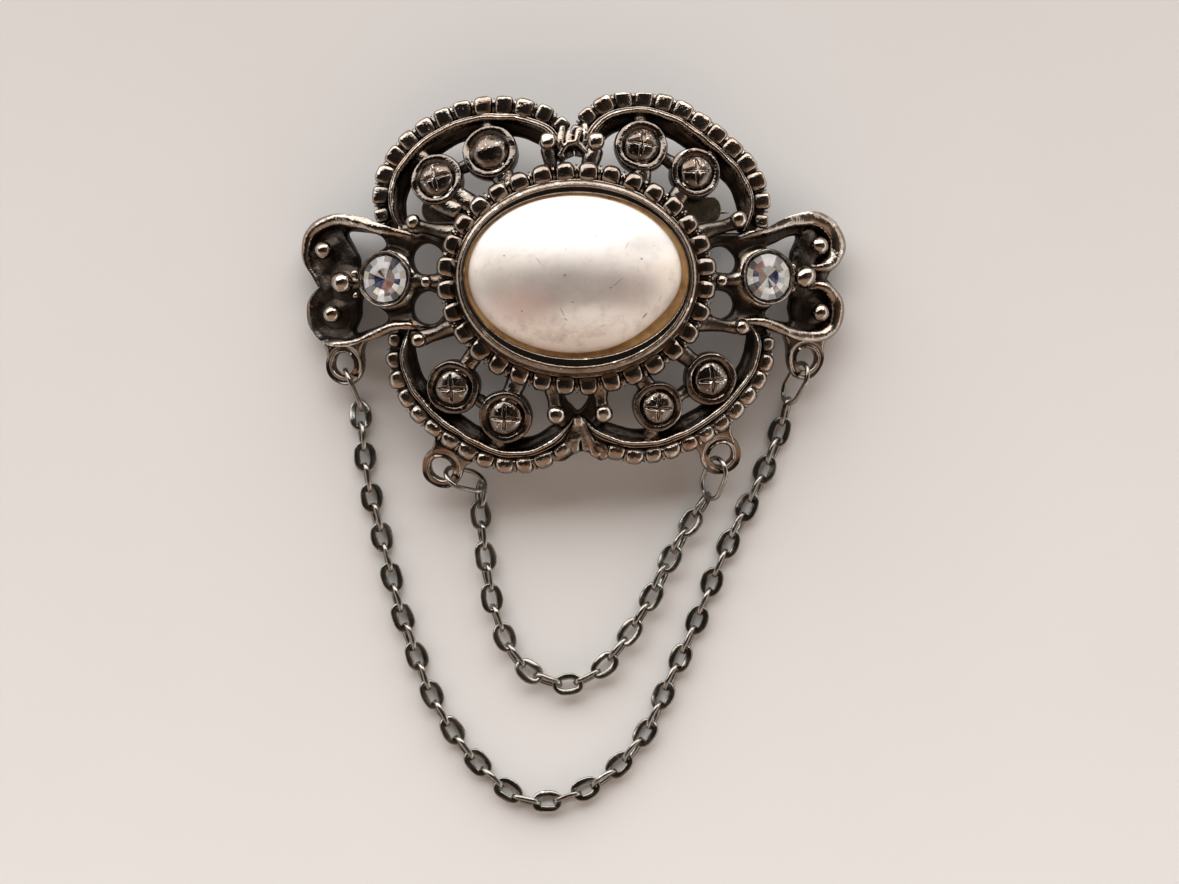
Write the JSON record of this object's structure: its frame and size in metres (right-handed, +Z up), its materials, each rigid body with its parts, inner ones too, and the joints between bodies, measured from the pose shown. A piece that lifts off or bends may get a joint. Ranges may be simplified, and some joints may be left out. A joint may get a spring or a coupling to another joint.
{
  "type": "chain brooch",
  "caption": "Oval pearl cabochon brooch in a pierced scrollwork casting with clear side stones and swagged cable chains.",
  "frame": {"origin": "middle of the whole piece as it lies, on the surface under it", "axes": "+Z up off the surface, +Y toward the top of the brooch, +X to the viewer's right"},
  "size_m": [0.0515, 0.0675, 0.0126],
  "materials": {
    "gunmetal": "polished",
    "gunmetal_wire": "polished",
    "old_gilt": "satin",
    "pearl": "gloss",
    "clear_stone": "gloss"
  },
  "bodies": {
    "root": {"casting": "gunmetal", "pearl_bed": "old_gilt", "pearl": "pearl", "stone_left": "clear_stone", "stone_right": "clear_stone", "jump_ring_upper_left": "gunmetal_wire", "jump_ring_upper_right": "gunmetal_wire", "jump_ring_lower_left": "gunmetal_wire", "jump_ring_lower_right": "gunmetal_wire", "outer_chain": "gunmetal_wire", "inner_chain": "gunmetal_wire", "pin_back": "gunmetal"}
  },
  "joints": []
}
